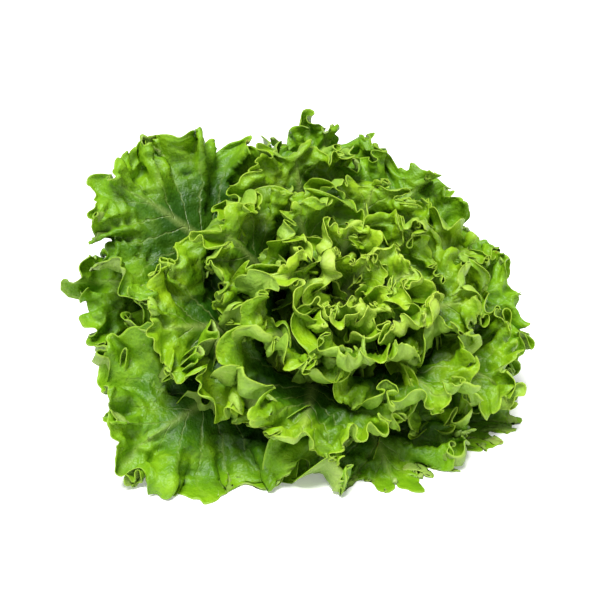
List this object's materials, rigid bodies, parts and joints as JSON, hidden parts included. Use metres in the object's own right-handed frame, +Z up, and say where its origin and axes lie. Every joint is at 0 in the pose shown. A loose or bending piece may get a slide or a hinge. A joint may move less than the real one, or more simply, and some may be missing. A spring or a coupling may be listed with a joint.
{
  "type": "batavia lettuce",
  "caption": "Loose-leaved batavia lettuce head, cut at the root and resting half on its side, with broad nested leaves round a short stem.",
  "frame": {"origin": "under the middle of the head, on the surface it rests on", "axes": "+Z up; -Y towards the side that the open heart looks to, with the cut stem end at the back; +X to the right as seen from the heart's side, along the head's longest extent"},
  "size_m": [0.3156, 0.2082, 0.184],
  "materials": {
    "stem": "pale, moist cut stem",
    "heart_leaf": "soft satin yellow-green leaf",
    "middle_leaf": "soft satin green leaf",
    "outer_leaf": "soft satin darker green leaf"
  },
  "bodies": {
    "root": {"stem": "stem", "heart_leaf_6": "heart_leaf", "heart_leaf_5": "heart_leaf", "heart_leaf_4": "heart_leaf", "heart_leaf_3": "heart_leaf", "heart_leaf_2": "heart_leaf", "heart_leaf_1": "heart_leaf", "inner_leaf_8": "heart_leaf", "inner_leaf_7": "heart_leaf", "inner_leaf_6": "middle_leaf", "inner_leaf_5": "middle_leaf", "inner_leaf_4": "middle_leaf", "inner_leaf_3": "middle_leaf", "inner_leaf_2": "middle_leaf", "inner_leaf_1": "middle_leaf", "middle_leaf_8": "middle_leaf", "middle_leaf_7": "middle_leaf", "middle_leaf_6": "middle_leaf", "middle_leaf_5": "middle_leaf", "middle_leaf_4": "middle_leaf", "middle_leaf_3": "middle_leaf", "middle_leaf_2": "middle_leaf", "middle_leaf_1": "outer_leaf", "outer_leaf_8": "outer_leaf", "outer_leaf_7": "outer_leaf", "outer_leaf_6": "outer_leaf", "outer_leaf_5": "outer_leaf", "outer_leaf_4": "outer_leaf", "outer_leaf_3": "outer_leaf", "outer_leaf_2": "outer_leaf", "outer_leaf_1": "outer_leaf"}
  },
  "joints": []
}
